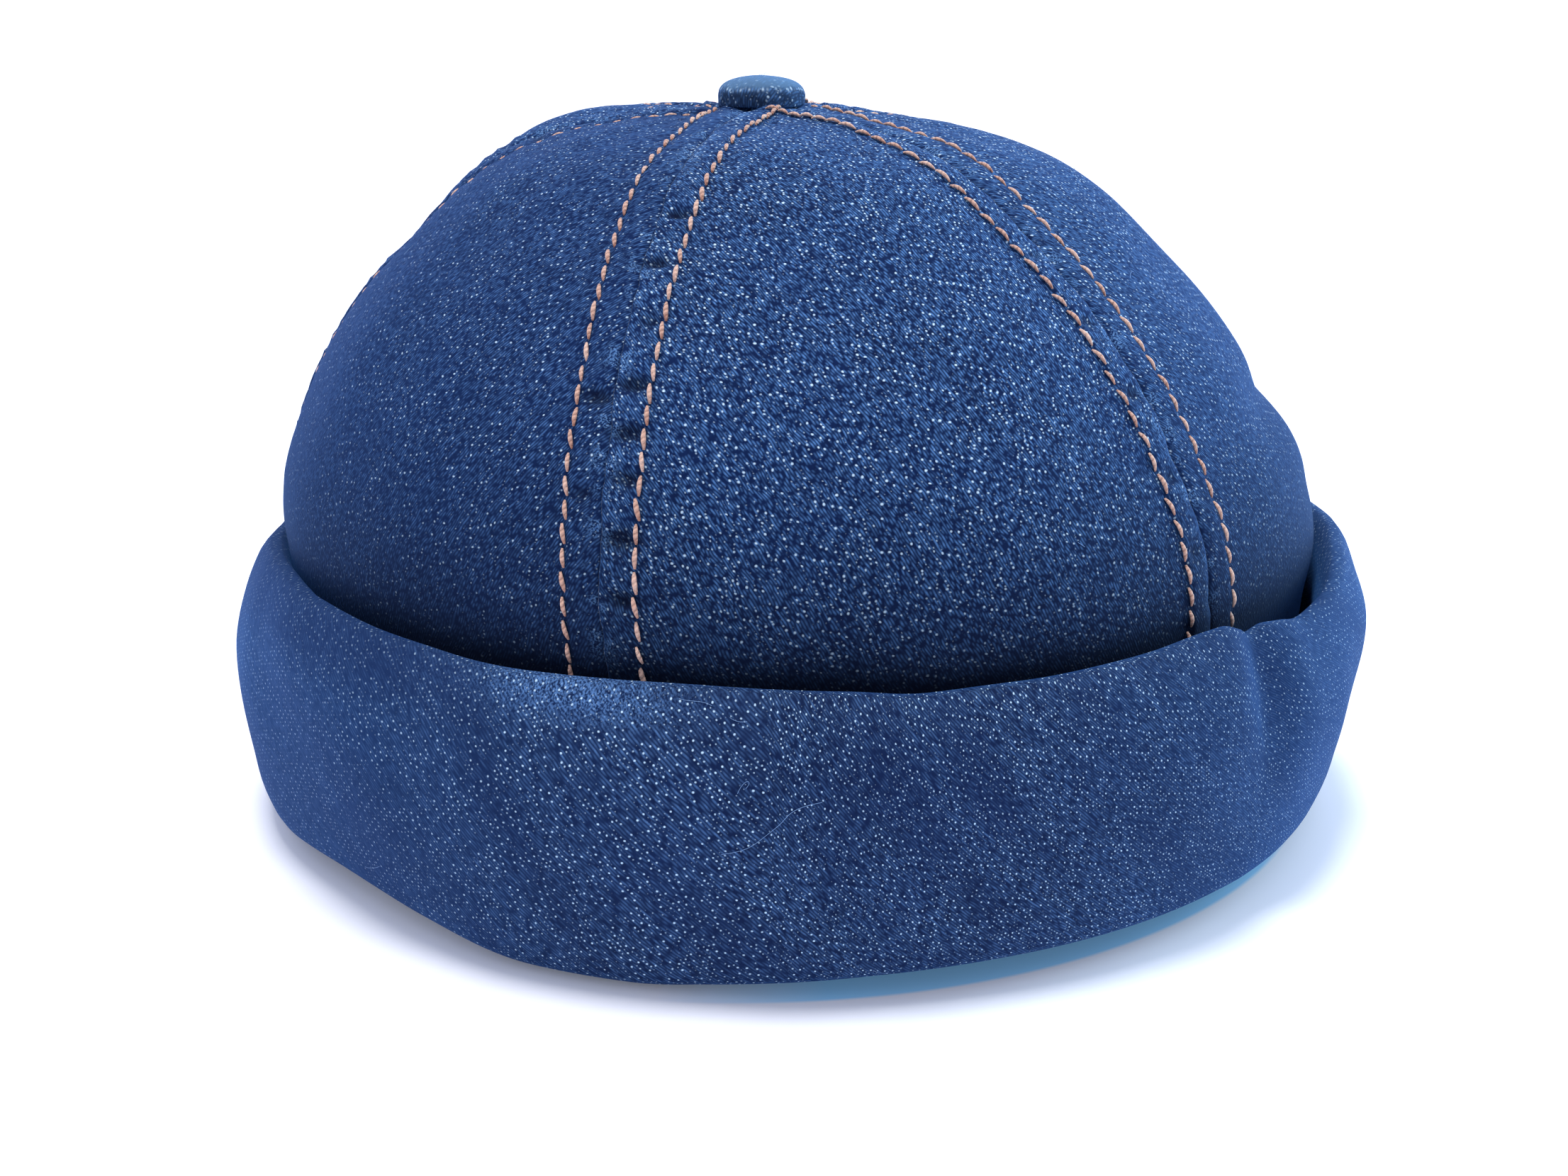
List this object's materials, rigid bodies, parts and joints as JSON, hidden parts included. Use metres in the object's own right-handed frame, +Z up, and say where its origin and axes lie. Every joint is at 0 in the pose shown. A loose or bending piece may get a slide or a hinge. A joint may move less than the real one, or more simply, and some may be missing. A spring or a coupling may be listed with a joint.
{
  "type": "docker hat",
  "caption": "Brimless round denim docker hat with a gored crown, a wide turned-up soft cuff and a covered top button.",
  "frame": {"origin": "middle of the hat's footprint, on the table it rests on", "axes": "+Z up through the crown, -Y towards the viewer's side with the two topstitched seams, +X to the viewer's right"},
  "size_m": [0.2078, 0.208, 0.1301],
  "materials": {
    "denim_crown": "dark indigo washed twill with pale weft flecks and copper topstitching",
    "denim_cuff": "dark indigo washed twill with larger pale weft flecks",
    "denim_button": "indigo twill pulled over a button, worn paler on its rim"
  },
  "bodies": {
    "root": {"crown_panel_1": "denim_crown", "crown_panel_2": "denim_crown", "crown_panel_3": "denim_crown", "crown_panel_4": "denim_crown", "crown_panel_5": "denim_crown", "crown_panel_6": "denim_crown", "cuff": "denim_cuff", "button": "denim_button"}
  },
  "joints": []
}
